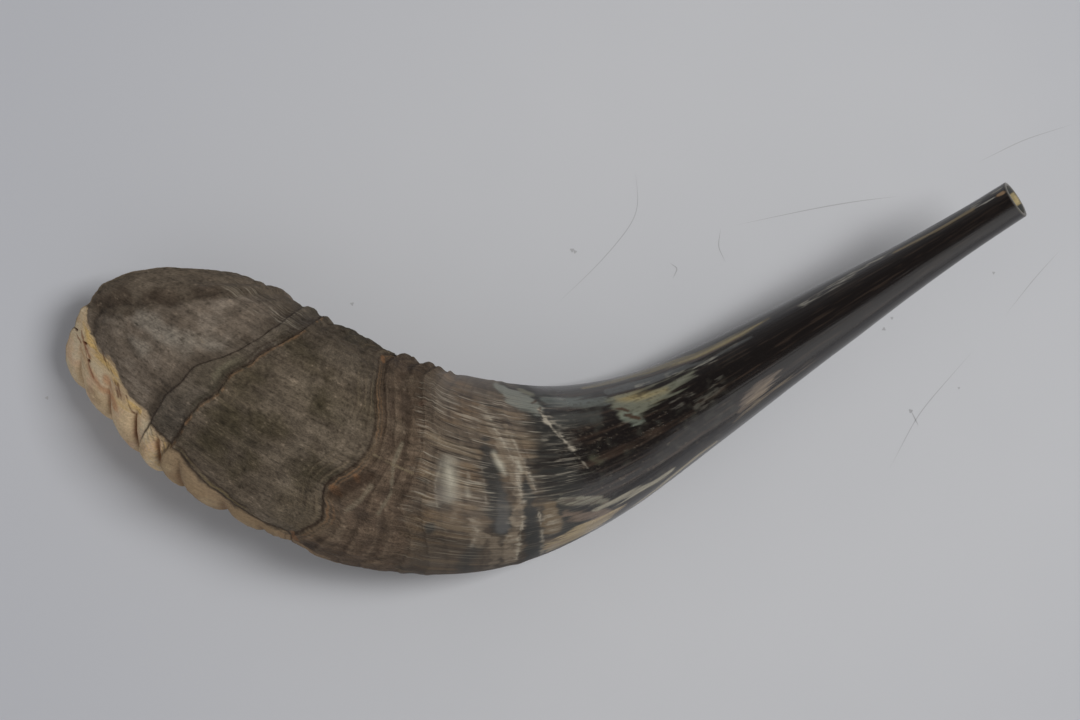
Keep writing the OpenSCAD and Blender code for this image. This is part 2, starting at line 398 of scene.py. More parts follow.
def near(points):
    """Distance in mm from a line through (station, degrees) points, and how far along it."""
    best = np.full(row_s.shape, 1e9)
    along = np.zeros(row_s.shape)
    legs = len(points) - 1
    for k in range(legs):
        (s0, t0), (s1, t1) = points[k], points[k + 1]
        x = row_s - s0
        y = ((angle - t0 + 180) % 360 - 180) * rho * math.pi / 180
        vx = s1 - s0
        vy = (t1 - t0) * rho * math.pi / 180
        f = np.clip((x * vx + y * vy) / (vx * vx + vy * vy + 1e-9), 0, 1)
        d = np.hypot(x - f * vx, y - f * vy)
        along = np.where(d < best, (k + f) / legs, along)
        best = np.minimum(best, d)
    return best, along


def streak(points, half, soft=1.0, ragged=0.0, seed=0, grain=(8, 2.4)):
    """A mask along a line, with ragged edges that follow the grain. half may be given per point."""
    d, along = near(points)
    if np.ndim(half):
        widest = max(half)
        d = d + widest - np.interp(along, np.linspace(0, 1, len(half)), half)
        half = widest
    close = d < half + soft + 2 * ragged
    if ragged:
        d[close] += ragged * noise(threads[close], grain, seed + 50, 4)
    return np.where(close, 1 - ramp(d, half - soft / 2, half + soft / 2), 0)


def dabs(rows):
    """Several streaks added together."""
    return sum(streak(*row) for row in rows)


# ---------------------------------------------------------------- relief, mm outwards
rough = ramp(row_s + 6 * noise(spot, (30, 16), 3, 2), 196, 256)
bark = ramp(row_s + 5 * noise(spot, (20, 12), 4, 2), 236, 252)
inner_side = ramp(np.abs(angle), 118, 150)
belly = ramp(row_g, 232, 246) * (1 - ramp(past["torn_edge"], -3, 1))
rings = noise(grown, (2.3, 46), 5, 2)
wide_rings = noise(grown, (5.5, 60), 6, 1)
fibre = noise(threads, (26, 1.0), 8, 3)
dents = noise(spot, (12, 9), 17, 2)
cloud_low = noise(spot, (20, 20), 16, 1)
grit = noise(spot, (1.6, 1.1), 9, 2)


def torn(name, lift, drop, before, after):
    """An old layer's edge: it rises to a lip, then the younger layer starts lower."""
    d = past[name] + 0.35 * noise(spot, (3, 2.2), 21, 2)
    old = lift * np.exp(np.minimum(d, 0) / before)
    young = -drop * np.exp(-np.maximum(d, 0) / after)
    return old + (young - old) * ramp(d, -0.35, 0.35)


def growth_steps(length, seed):
    """Overlapping growth layers: each rises slowly and ends in a small step."""
    phase = row_g / length + 0.45 * noise(grown, (13, 17), seed, 2) + 0.12 * noise(spot, (5, 3), seed + 3, 2)
    f = phase - np.floor(phase)
    drop = ramp(f, 0.86, 1)
    return (f - 0.5) * (1 - drop) - 0.5 * drop


def knuckle_relief():
    lumps = np.zeros_like(row_s)
    bend = row_s - 0.10 * np.maximum(angle, 0) + 1.0 * noise(spot, (9, 7), 13, 2)
    for a, b, h in zip(KNUCKLES, KNUCKLES[1:], KNUCKLE_HEIGHT):
        x = np.clip((bend - a) / (b - a), 0, 1)
        lumps += h * (1 - np.abs(2 * x - 1) ** 2.4) * (x > 0) * (x < 1)
    inside = ramp(keel_in, -1, 8) * (1 - ramp(np.abs(angle), 22, 56))
    sunk = np.interp(row_s, [280, 334, 346, 362, 372, 380], [0.6, 0.9, 2.3, 2.7, 1.6, 0.8])
    cleft, groove = 0, 0
    for a in KNUCKLES[1:-1]:
        at_edge = a in SHEATH_CLEFTS
        width, depth, reach = (0.9, 1.0, 2) if at_edge else (1.2, 0.4, 10)
        this = hump(bend - a, width) * ramp(keel_in, 0, reach)
        this = this * (1 - ramp(np.abs(angle - 6), 14, 34 if at_edge else 26))
        groove = groove + depth * this
        cleft = cleft + (1.0 if at_edge else 0.35) * this
    return (lumps - sunk) * inside - groove, cleft


knuckles, clefts = knuckle_relief()
relief = 0.5 * rough * noise(spot, (30, 18), 7, 2) + 0.08 * noise(spot, (34, 8), 10, 2)
steps = growth_steps(6.2, 18)
fine_steps = growth_steps(2.9, 19)
relief += belly * (0.12 * rings + 0.30 * wide_rings + 0.60 * steps * (0.8 + 0.5 * cloud_low))
relief += bark * (1 - belly) * (0.08 * rings + 0.14 * wide_rings + 0.16 * fine_steps * (0.8 + dents))
relief += bark * (0.34 * dents + 0.10 * noise(spot, (4.5, 3.5), 20, 2))
relief += inner_side * ramp(row_s, 226, 250) * (0.34 * noise(grown, (4.2, 40), 12, 1) + 0.40 * wide_rings)
relief += inner_side * ramp(row_s, 205, 235) * 0.12 * wide_rings
relief += bark * (0.11 * fibre + 0.06 * grit) + 0.02 * (1 - bark) * fibre
relief += torn("dark_edge", 0.8, 0.4, 6, 5) * (1 - 0.5 * inner_side)
relief += torn("orange_edge", 0.25, 0.9, 3, 3.5)
low_side = 1 - ramp(angle, 66, 92)
relief += torn("torn_edge", 0.30, 0.18, 7, 5) * (1 + 0.9 * low_side)
relief += 0.25 * hump(past["torn_edge"] - 3.5, 1.8)
for back, cut in ((1.1, 0.18), (2.2, 0.16), (3.4, 0.13), (-2.4, 0.12), (-5.5, 0.12), (-8.0, 0.10)):
    layer = past["torn_edge"] + back + 0.4 * noise(spot, (4, 4), 31, 1)
    relief -= cut * ramp(layer, -0.25, 0.25) * np.exp(-np.maximum(layer, 0) / 2.5)
for ring_name, height in (("lower_ring", 0.30), ("upper_ring", 0.34)):
    relief += height * hump(past[ring_name], 1.7)
relief += 0.26 * hump(past["upper_ring"] - 4, 1.5) * ramp(angle, 5, 40)
relief += knuckles
rim_groove = streak([(367, 52), (370, 64), (372, 78), (371, 90), (365, 100), (356, 108), (347, 118),
                     (340, 131), (335, 140)],
                    (0.6, 1.2, 1.6, 1.6, 1.2, 0.8, 0.6, 0.5, 0.2), 4.0, 0.8, 60, (9, 5))
relief -= 1.0 * rim_groove
relief += 0.7 * streak([(374, 98), (366, 112), (357, 122), (343, 138), (330, 149)], 2.4, 6.0, 1.0, 61, (8, 6))
bell_hollows = dabs([([(358, 84), (353, 75)], 1.2, 5.0, 1.0, 62),
                     ([(338, 103), (334, 99)], 1.0, 4.0, 1.0, 63),
                     ([(331, 107), (325, 112), (320, 117)], 1.6, 6.0, 1.0, 64),
                     ([(339, 71), (336, 64)], 1.4, 5.0, 1.0, 65)])
bell_swells = dabs([([(353, 99), (350, 96)], 1.6, 7.0, 1.0, 66), ([(341, 92), (333, 93)], 2.0, 7.0, 1.0, 67),
                    ([(366, 80), (361, 92)], 0.8, 4.0, 0.6, 68)])
relief += 0.6 * bell_swells - 0.8 * bell_hollows
relief -= 0.35 * hump(keel_in + 0.8, 0.8) * ramp(row_s, 274, 282) * (past["dark_edge"] < 4)
eye_gap = streak([(265.5, 80), (269, 70), (272, 58)], 1.5, 1.6)
relief -= 0.9 * eye_gap
PITS = [(373, 49), (369, 39), (380, 52), (356, -20), (366, -34)]
pits = dabs([([(s0, t0), (s0 - 1.2, t0 + 1)], 0.5, 0.8) for s0, t0 in PITS])
relief -= 0.7 * pits
relief *= ramp(row_s, 3, 14)

skin_r = at_station(outer_radius, row_s) + relief
skin_at = place(row_s, skin_r)
skin_normal = grid_normals(skin_at)

# The hollow: plain in the bore, with faint ribs along it towards the bell.
hole_s, _, hole_span = lay_rows(lambda n: INNER_PITCH, np.full(COLUMNS, LIP_DEPTH), RIM_DEPTH)
hole_r = at_station(inner_radius, hole_s)
hole_spot = np.stack([hole_s, hole_r * np.cos(turn), hole_r * np.sin(turn)], -1)
rib = noise(hole_spot, (40, 5), 41, 2) + 0.5 * noise(hole_spot, (8, 3), 42, 2)
hole_r = hole_r + 0.3 * rib * ramp(hole_s, 190, 290)
hole_at = place(hole_s, hole_r)
hole_normal = -grid_normals(hole_at)

# ---------------------------------------------------------------- colour
# Colours are written as they look on the table, and shown(...) turns them into surface colours.
TABLE_GLOW = 0.73


def linear(c):
    c = np.array(c, float) / 255
    return np.where(c < 0.04045, c / 12.92, ((c + 0.055) / 1.055) ** 2.4)


def shown(r, g, b):
    return linear((r, g, b)) / TABLE_GLOW


BLACK = (15, 9, 7)
STEM_BROWN = (44, 32, 24)
TEAL = (114, 116, 107)
OLIVE = (88, 82, 64)
YELLOW_GREEN = (112, 107, 84)
PALE = (160, 152, 136)
PEACH = (108, 92, 78)
BEND = (82, 72, 61)
BELLY = (82, 69, 57)
FLANK = (80, 71, 60)
FLANK_DARK = (60, 54, 42)
FLANK_PALE = (100, 90, 77)
BELL = (97, 87, 76)
BELL_PALE = (122, 112, 100)
BELL_DARK = (72, 63, 53)
KEEL = (178, 157, 126)
KEEL_TAN = (134, 115, 90)
KEEL_PINK = (176, 148, 124)
OCHRE = (186, 156, 98)
ORANGE = (112, 84, 60)
DEEP = (50, 40, 33)
BONE = (120, 104, 82)
NAVY = (42, 43, 42)
WORN = (116, 104, 88)
# painted highlight colour for the glints on the polished bend
PAINTED_GLINT = (176, 170, 152)
RUST_BROWN = (56, 38, 26)

paint = np.zeros(row_s.shape + (3,))
paint[:] = shown(*BELL)


def tint(mask, colour):
    paint[:] = paint + np.clip(mask, 0, 1)[..., None] * (shown(*colour) - paint)


def wash(zone, fields):
    """Tints a zone wherever a field rises: (field, from, to, strength, colour)."""
    for field, low, high, strength, colour in fields:
        tint(zone * ramp(field, low, high) * strength, colour)


def strokes(lines):
    """Single lines: (points, half width, softness, raggedness, seed, strength, colour)."""
    for points, half, soft, ragged, seed, strength, colour in lines:
        tint(streak(points, half, soft, ragged, seed) * strength, colour)


def shade(amount):
    paint[:] = paint * np.clip(1 + amount, 0.1, 3)[..., None]


cloud = noise(spot, (17, 12), 60, 4)
cloud2 = noise(spot, (9, 7), 64, 3)
mottle = noise(spot, (3.0, 2.2), 66, 2)
grain_long = noise(threads, (30, 1.2), 68, 3)
grain_short = noise(threads, (8, 0.7), 72, 2)
speck = noise(spot, (1.0, 0.9), 76, 2)
across = noise(grown, (1.3, 22), 80, 2)


def paint_rough():
    """The raw horn: bell, knuckle band and flank, then the belly over them."""
    younger = ramp(past["dark_edge"], -0.5, 0.5)
    flank = 1 - younger
    tint(flank, FLANK)
    wash(flank, [(cloud, 0.05, 0.75, 0.75, FLANK_PALE), (-cloud, 0.1, 0.8, 0.8, FLANK_DARK)])
    wash(younger, [(cloud2 + 0.5 * cloud, 0.1, 0.9, 0.6, BELL_PALE),
                   (-cloud2 - 0.4 * cloud, 0.1, 0.9, 0.6, BELL_DARK)])
    outside = angle - np.interp(row_s, [327, 337, 346, 357, 365, 374], [149, 131, 116, 98, 88, 80])
    band = ramp(outside * rho / 57 + 1.6 * cloud2, -1.5, 1.5) * younger * ramp(angle, 20, 60)
    tint(band * 0.75, (78, 69, 58))
    tint(younger * streak([(370, 84), (359, 96), (352, 106)], 1.6, 3, 2.2, 1) * 0.75, BELL_DARK)
    for s0, t0, size in ((366, 104, 3.0), (352, 117, 3.4), (341, 133, 3.2), (372, 92, 2.4), (356, 112, 2.4)):
        tint(streak([(s0, t0), (s0 - 3, t0 + 3)], size, 3.4, 1.6, s0) * 0.6, (62, 52, 43))
    for s0, t0, size in ((338, 99, 3.4), (345, 95, 2.6), (353, 98, 3.4), (328, 106, 2.2), (351, 78, 2.4)):
        tint(streak([(s0, t0), (s0 - 4, t0 + 2)], size, 5, 1.6, s0) * 0.6, (124, 117, 106))
    tint(flank * ramp(past["orange_edge"], 0, 1) * 0.5, (70, 65, 59))
    for colour, blotches in (
            (FLANK_PALE, [([(299, 113), (294, 112)], 4.0, 0.7), ([(285, 134), (280, 133)], 3.4, 0.7),
                          ([(294, 60), (289, 78), (286, 96)], 1.6, 0.7),
                          ([(286, 112), (280, 110)], 3.0, 0.45), ([(302, 95), (297, 93)], 3.2, 0.5),
                          ([(277, 80), (275, 104)], 1.8, 0.6)]),
            ((58, 52, 38), [([(313, 48), (311, 72)], 5.0, 0.65), ([(303, 40), (300, 52)], 3.6, 0.55),
                            ([(302, 76), (297, 82)], 3.6, 0.6), ([(297, 130), (306, 134)], 4.0, 0.55),
                            ([(284, 56), (280, 66)], 3.4, 0.45), ([(290, 122), (288, 104)], 2.2, 0.6)])):
        for points, size, strength in blotches:
            tint(flank * streak(points, size, 6, 2.6, 300 + int(points[0][0]), (10, 4)) * strength, colour)
    # painted shade in the groove under the rolled rim
    tint(rim_groove * 0.6, (58, 50, 42))
    # painted shade in the bell's hollows and painted light on its swells
    tint(bell_hollows * 0.35, (60, 53, 45))
    tint(bell_swells * 0.25, (120, 113, 102))
    tint(flank * ramp(steps, 0.1, 0.5) * ramp(cloud2, -0.3, 0.6) * 0.22, FLANK_PALE)
    tint(flank * ramp(-steps, 0.2, 0.5) * ramp(cloud, -0.3, 0.6) * 0.20, FLANK_DARK)
    tint(flank * ramp(cloud_low, 0.2, 0.9) * 0.25, (84, 74, 56))
    tint(belly, BELLY)
    wash(belly, [
        (cloud2, 0.1, 0.9, 0.5, (92, 82, 70)), (-cloud, 0.1, 0.9, 0.55, (60, 50, 41)),
        (steps + 0.3 * cloud2, 0.0, 0.5, 0.45, (98, 85, 71)),
        (-steps - 0.3 * cloud2, 0.1, 0.5, 0.45, (54, 45, 38)), (across, 0.2, 0.9, 0.3, (96, 84, 70)),
        (-rings, 0.2, 0.9, 0.3, (60, 50, 42))])
    tint(streak([(252, 132), (249, 120), (246, 108)], 1.6, 3, 1.0, 5) * 0.5, (84, 56, 44))
    flecks = ramp(speck, 0.65, 1.05) * ramp(mottle, -0.1, 0.6)
    tint(bark * flecks * 0.4, (122, 109, 93))
    tint(bark * ramp(-speck, 0.6, 1.0) * 0.4, (50, 43, 35))
    shade(bark * ((0.09 + 0.01 * younger) * grain_long + (0.12 - 0.05 * younger) * grain_short))
    shade(bark * ((0.22 - 0.06 * younger - 0.08 * belly) * speck
                  + (0.22 - 0.06 * younger) * mottle + 0.08 * across))


def paint_inner_curve():
    """Darker on the inner curve, from the bend to the flank."""
    shade(-0.22 * ramp(angle, 112, 150) * ramp(row_s, 215, 250) * (1 - ramp(row_s, 305, 330)))


def paint_keel():
    """The cream keel: knuckles with painted light and shade, clefts, rusty cracks and pits, and the seam
    along its edge.
    """
    warm = noise(spot, (7, 5), 84, 3)
    knuckle_low = 1 - ramp(knuckles + 1.2 * ramp(row_s, 334, 346), -1.6, 0.4)
    pink = noise(spot, (5, 4), 88, 2)
    body = row_s > 328                                  # the broad part, on the bell
    tint(keel, KEEL_TAN)
    # painted light on the knuckle tops and painted shade between them
    wash(keel * ~body, [(knuckles, 0.5, 1.9, 0.7, (172, 152, 120)),
                        (-knuckles, -0.5, 0.6, 0.5, (98, 80, 60))])
    tint(keel * body * 0.9, KEEL)
    wash(keel * body, [(pink, 0.0, 0.7, 0.55, KEEL_PINK), (warm, 0.0, 0.7, 0.6, (176, 164, 140))])
    tint(keel * ramp(-warm, 0.2, 0.9) * 0.5, (130, 106, 80))
    tint(keel * body * ramp(knuckle_low, 0.25, 1.0) * 0.6, (122, 84, 56))
    edge_band = hump(keel_in - 2.6, 3.6) * (row_s > 340) * (row_s < 377)
    tint(keel * edge_band * ramp(grain_long + warm * 0.6, -0.2, 0.5) * 0.85, OCHRE)
    rusty = dabs([([(375, 40), (366, 34), (356, 29), (351, 27)], 1.0, 2.2, 1.6, 96),
                  ([(358, 38), (351, 30)], 1.2, 2.0, 1.4, 97)])
    tint(keel * rusty * 0.6, (150, 102, 66))
    lines = np.abs(np.sin(keel_in * 2.4 + 0.8 * warm))
    near_edge = ramp(keel_in, 7.5, 1.5) * (row_s > 332) * ramp(grain_long + cloud2, -0.3, 0.5)
    tint(keel * near_edge * ramp(lines, 0.5, 0.05) * 0.55, (92, 66, 44))
    laminae = ramp(np.abs(np.sin((row_s - 0.35 * angle) * 1.5)), 0.5, 0.1) * ramp(keel_in, 7, 1)
    in_band = (past["orange_edge"] > 0) * (past["dark_edge"] < 0)
    tint(keel * laminae * in_band * 0.8, (84, 72, 48))
    tint(keel * in_band * ramp(np.abs(np.sin((row_s - 0.35 * angle) * 1.5 + 1.2)), 0.4, 0.05) * 0.5, OCHRE)
    for back, width, start, line, broken, strength, colour in (
            (0.7, 0.55, (272, 280), "dark_edge", 1, 0.85, DEEP),
            (2.4, 0.7, (286, 300), "orange_edge", ramp(grain_long, -0.7, 0.2), 0.75, (114, 100, 70)),
            (3.6, 0.5, (286, 300), "orange_edge", 1, 0.75, DEEP)):
        seam = hump(keel_in + back, width) * ramp(row_s, *start) * (past[line] < 0) * (angle > -40)
        tint(seam * broken * strength, colour)
    tint(clefts * keel * 0.8, (98, 66, 42))
    for s0, t0 in ((360, 53), (356, 49), (353, 43), (350, 40), (345, 37)):
        crack = streak([(s0 + 2.5, t0 + 3), (s0 - 2.5, t0 - 7)], 0.25, 0.5, 0.6, 400 + s0, (4, 1.5))
        tint(crack * 0.75, (86, 58, 38))
    tint(ramp(pits, 0.2, 0.9), (58, 34, 24))
    for s0, t0 in PITS[:3]:
        tint(streak([(s0 + 3, t0 + 8), (s0, t0), (s0 - 5, t0 - 6)], 0.35, 0.5, 0.5, s0) * 0.7, (110, 66, 44))
    strokes([([(274, 6), (262, 1), (250, 1)], 1.4, 1.6, 1.2, 6, 0.6, (118, 98, 74))])


def paint_edges():
    """The three growth lines of the raw horn, the small marks beside them, and painted shade and light beside
    two of them.
    """
    fine = noise(spot, (2.5, 1.6), 90, 2)
    flank_zone = 1 - ramp(past["orange_edge"], -3, 0)
    shows = ramp(noise(grown, (30, 9), 91, 3) + 0.3, -0.3, 0.6)
    dark = past["dark_edge"] + 0.25 * fine
    tint(hump(dark, 0.5) * (0.55 + 0.35 * shows), DEEP)
    # painted shade on the bell side of the dark edge, and painted light on its raised band side
    tint(hump(dark - 2.0, 2.6) * ramp(dark, 0, 0.6) * 0.6 * (1 - 0.85 * keel), (60, 52, 43))
    tint(hump(dark + 2.0, 1.5) * 0.25, FLANK_PALE)
    orange = past["orange_edge"] + 0.3 * fine
    tint(hump(orange - 0.6, 0.5) * (0.45 + 0.35 * shows), DEEP)
    # painted shade in the dip just past the orange edge
    tint(hump(orange - 2.2 - 0.8 * cloud2, 0.35) * 0.5 * ramp(angle, 50, 62), DEEP)
    rust = hump(orange + 0.5, 0.42) * ramp(mottle + shows + 0.4 * noise(spot, (5, 3), 94, 1), 0.35, 0.85)
    tint(rust * 0.55, (112, 86, 62))
    for s0, t0 in ((323, 64), (320.5, 80), (318, 97), (322, 52), (316, 112)):
        tint(hump(orange + 0.4, 0.5) * streak([(s0, t0), (s0, t0 + 5)], 1.5, 1.5) * 0.5, (134, 101, 70))
    # more painted shade in the dip past the orange edge
    tint(hump(orange - 1.9, 1.1) * ramp(angle, 56, 66) * (1 - ramp(angle, 104, 112)) * 0.5, (50, 47, 37))
    tint(hump(orange - 3.6, 1.0) * ramp(angle, 82, 92) * (1 - ramp(angle, 103, 112)) * 0.8, (98, 92, 76))
    torn_line = past["torn_edge"] + 0.3 * fine
    tint(hump(torn_line - 0.2, 0.4) * (0.55 + 0.4 * low_side), DEEP)
    laid = ramp(torn_line, -4.2, -0.6) * (1 - ramp(torn_line, -0.3, 0.1))
    tint(laid * 0.4, (90, 77, 61))
    stripes = np.sin(torn_line * 5.2 + 1.6 * noise(spot, (6, 6), 92, 2))
    tint(laid * ramp(stripes, 0.2, 0.8) * (0.10 + 0.5 * shows), ORANGE)
    tint(laid * ramp(-stripes, 0.4, 0.9) * (0.2 + 0.4 * shows), DEEP)
    for ahead, width, strength in ((2.6, 0.35, 0.5), (5.6, 0.3, 0.4), (8.2, 0.4, 0.3)):
        layer = torn_line - ahead + 0.6 * noise(grown, (6, 10), 93, 2)
        tint(hump(layer, width) * strength * ramp(mottle + shows, 0.2, 0.9) * flank_zone, DEEP)
        tint(hump(layer + 0.8, width) * strength * shows * flank_zone, (104, 92, 74))
    for s0, t0, size in ((277, 158, 1.1), (271.5, 61, 1.0), (276, 14, 1.4), (268, 74, 0.8)):
        tint(streak([(s0, t0), (s0 + 0.8, t0 + 3)], size, 1.0, 0.5, int(s0)) * 0.6, (122, 88, 60))
    tint(eye_gap * 0.75, (56, 44, 35))
    strokes([
        ([(264, 74), (265.5, 64), (268, 53)], 0.8, 1.0, 0.5, 7, 0.65, (112, 102, 86)),
        ([(258, 104), (259, 92), (257, 72), (259, 57)], 0.6, 0.9, 0.5, 8, 0.6, (112, 104, 88)),
        ([(266, 93), (252, 88)], 0.5, 0.8, 0.5, 9, 0.6, (122, 110, 88)),
        ([(253, 150), (249, 122), (245, 98), (243.5, 72)], 0.6, 1.2, 0.6, 10, 0.6, (58, 46, 38))])


# Fine cross marks in the worn strips.
hatch = ramp(noise(threads, (6, 0.7), 155, 2) + 0.4 * speck, -0.5, 0.5)


def layers(zone, patches):
    """Patches laid one over another: (points, half width, softness, raggedness, colour, strength)."""
    for k, (points, half, soft, ragged, colour, strength) in enumerate(patches):
        seed = 200 + 7 * k + int(points[0][0])
        mask = streak(points, half, soft, ragged, seed, (14, 1.6)) * strength
        if colour == WORN:
            mask = mask * (0.4 + 0.6 * hatch)
        tint(zone * mask, colour)


def paint_bend():
    """The half polished bend: brown sheath, dark patches, worn pale strips, painted glints, and painted light
    and shade.
    """
    zone = 1 - ramp(row_g + 3 * cloud2, 243, 249)
    tint(zone, BEND)
    wash(zone, [
        (cloud + 0.6 * grain_long, -0.1, 0.8, 0.6, (98, 79, 58)), (-cloud2, 0.0, 0.8, 0.65, (58, 49, 41)),
        (steps, 0.1, 0.5, 0.25, (100, 88, 74)), (-steps, 0.2, 0.5, 0.35, (54, 46, 40)),
        (grain_long + 0.5 * grain_short, 0.2, 0.9, 0.45, (116, 103, 84)),
        (-grain_short - 0.4 * grain_long, 0.3, 1.0, 0.4, (46, 38, 31))])
    # painted light on the top of the bend and painted shade along its low side
    shade(zone * (0.12 * ramp(angle, 76, 96) - 0.30 * (1 - ramp(angle, 34, 74))))
    dark = 1 - ramp(row_s + 4 * cloud2 + 3 * grain_long + 0.08 * np.maximum(90 - angle, 0), 206, 217)
    tint(zone * dark, (37, 36, 33))
    wash(zone * dark, [
        (-cloud2 - grain_long, 0.0, 0.9, 0.5, (38, 31, 26)),
        (grain_short + grain_long, 0.2, 1.1, 0.45, (66, 62, 55))])
    layers(zone, [
        ([(228, 112), (226, 92), (222, 64), (221, 48)], (1.4, 3.2, 3.6, 2.0), 3.0, 2.0, NAVY, 0.8),
        ([(213, 82), (213, 56), (211, 34), (211, 12)], (1.2, 2.6, 2.6, 2.2), 2.0, 1.2, NAVY, 0.85),
        ([(241, 94), (240, 70)], (3.0, 3.4), 4.0, 1.6, NAVY, 0.45),
        ([(243, 54), (243, 50)], 1.4, 2.0, 0.8, (44, 44, 42), 0.8),
        ([(229, 36), (231, 26), (230, 10)], (1.6, 2.4, 1.6), 3.0, 1.6, NAVY, 0.6),
        ([(230, 58), (228, 46), (228, 38)], (1.6, 2.2, 1.0), 1.4, 1.8, WORN, 0.7),
        ([(224, 42), (222, 28), (223, 14)], (1.8, 1.2, 1.0), 1.4, 1.6, WORN, 0.6),
        ([(237, 90), (236, 70), (237, 58)], (1.2, 1.4, 0.9), 1.4, 1.4, WORN, 0.5),
        ([(206, 60), (206, 46), (205, 38)], (2.0, 3.4, 2.4), 1.6, 1.4, (96, 82, 63), 0.85),
        ([(228, 140), (225, 122), (221, 106), (218, 95), (217, 81), (216, 69), (217, 54), (218, 38),
          (218, 16)],
         (1.0, 1.4, 1.5, 1.3, 1.1, 1.3, 1.8, 2.1, 2.0), 1.1, 1.3, WORN, 0.8),
        ([(219, 122), (218, 114), (216, 103), (214, 93), (213, 86), (211, 75)],
         (0.6, 1.1, 1.3, 1.2, 0.9, 0.5), 0.8, 0.9, WORN, 0.75),
        # painted glints: highlights painted onto the polished patches
        ([(240.5, 97), (238.5, 76)], (2.0, 1.8), 6.5, 0.6, PAINTED_GLINT, 0.56),
        ([(240, 92), (238.5, 84)], 0.8, 3.0, 0.3, PAINTED_GLINT, 0.5),
        ([(234, 84), (233, 76)], (0.4, 0.4), 3.0, 0.4, PAINTED_GLINT, 0.40),
        ([(224.5, 104), (222.5, 97), (220.8, 90)], (0.3, 0.9, 0.3), 3.6, 0.3, PAINTED_GLINT, 0.86),
        ([(215.8, 97), (214.8, 90)], (0.3, 0.3), 2.6, 0.2, PAINTED_GLINT, 0.8),
    ])
    return zone


